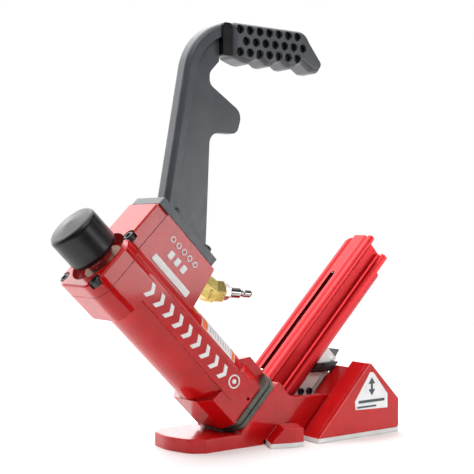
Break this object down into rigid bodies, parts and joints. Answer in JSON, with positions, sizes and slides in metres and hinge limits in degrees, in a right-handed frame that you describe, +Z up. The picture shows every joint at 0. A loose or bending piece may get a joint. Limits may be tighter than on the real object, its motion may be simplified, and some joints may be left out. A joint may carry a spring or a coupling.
{
  "type": "flooring nailer",
  "caption": "Mallet-struck pneumatic floor nailer with a leaning barrel, vented top grip, inclined cleat magazine and an adjustable rear foot.",
  "frame": {"origin": "where the driver axis meets the surface that the tool stands on, in the mid-plane", "axes": "+Z up, +X from the striking head towards the magazine, Y across the tool"},
  "size_m": [0.3875, 0.132, 0.407],
  "materials": {
    "red_paint": "gloss red powder coat on a casting",
    "foot_red": "semi-gloss red coat on machined blocks",
    "red_anodised": "red anodised extrusion",
    "cap_rubber": "satin black rubber",
    "seal_rubber": "matte black",
    "seal_green": "matte grey-green",
    "gasket": "fibre sheet",
    "handle_black": "satin dark grey coat",
    "grip_plastic": "moulded dark grey",
    "black_plastic": "moulded black",
    "black_steel": "black oxide",
    "steel": "plated steel",
    "alloy": "machined",
    "nickel": "nickel plate",
    "brass": "machined brass",
    "bronze": "bearing bronze",
    "white_pad": "slick white plastic"
  },
  "bodies": {
    "frame": {"cylinder_housing": "red_paint", "head_cover": "red_paint", "head_gasket": "gasket", "ram_bushing": "bronze", "head_screws": "black_steel", "valve_cage": "bronze", "ram_spring": "steel", "cylinder_sleeve": "alloy", "bumper": "seal_rubber", "handle_frame": "handle_black", "handle_gasket": "gasket", "handle_screws": "black_steel", "grip_sleeve": "grip_plastic", "grip_core": "cap_rubber", "brass_elbow": "brass", "air_plug": "nickel", "shoe_frame": "red_paint", "nose_guide": "steel", "base_seal": "seal_green", "seal_plate": "black_plastic", "shoe_gasket": "seal_green", "base_bolts": "black_steel", "front_pad_near": "white_pad", "front_pad_far": "white_pad", "magazine": "red_anodised", "end_stop": "black_plastic", "magazine_bracket": "steel", "bracket_screws": "black_steel", "foot_rail": "steel", "lever_saddle": "black_plastic", "lever_pin": "steel"},
    "ram": {"striking_cap": "cap_rubber", "ram_stem": "steel", "firing_valve": "black_plastic", "valve_seal": "seal_rubber"},
    "driver": {"piston": "alloy", "piston_seal": "seal_rubber", "driver_blade": "steel"},
    "feeder": {"pusher": "steel", "feed_spring": "steel"},
    "foot": {"foot_body": "foot_red", "foot_cheek_near": "foot_red", "foot_cheek_far": "foot_red", "foot_pad_near": "white_pad", "foot_pad_far": "white_pad"},
    "lever": {"lock_lever": "handle_black"}
  },
  "joints": [
    {"name": "cap_strike", "type": "slide", "parent": "frame", "child": "ram", "axis": [0.7071, 0, -0.7071], "range_m": [0, 0.008], "stiffness_N_per_m": 1500, "springref_m": -0.01, "deforming": ["ram_spring"]},
    {"name": "driver_stroke", "type": "slide", "parent": "frame", "child": "driver", "axis": [0.7071, 0, -0.7071], "range_m": [0, 0.0715]},
    {"name": "pusher_feed", "type": "slide", "parent": "frame", "child": "feeder", "axis": [0.7071, 0, 0.7071], "range_m": [0, 0.132], "stiffness_N_per_m": 60, "springref_m": -0.12},
    {"name": "foot_slide", "type": "slide", "parent": "frame", "child": "foot", "axis": [0.7071, 0, 0.7071], "range_m": [0, 0.016]},
    {"name": "lock_lever", "type": "hinge", "parent": "frame", "child": "lever", "pos_m": [0.08521, 0, 0.07389], "axis": [0, 1, 0], "range_deg": [0, 50]}
  ]
}
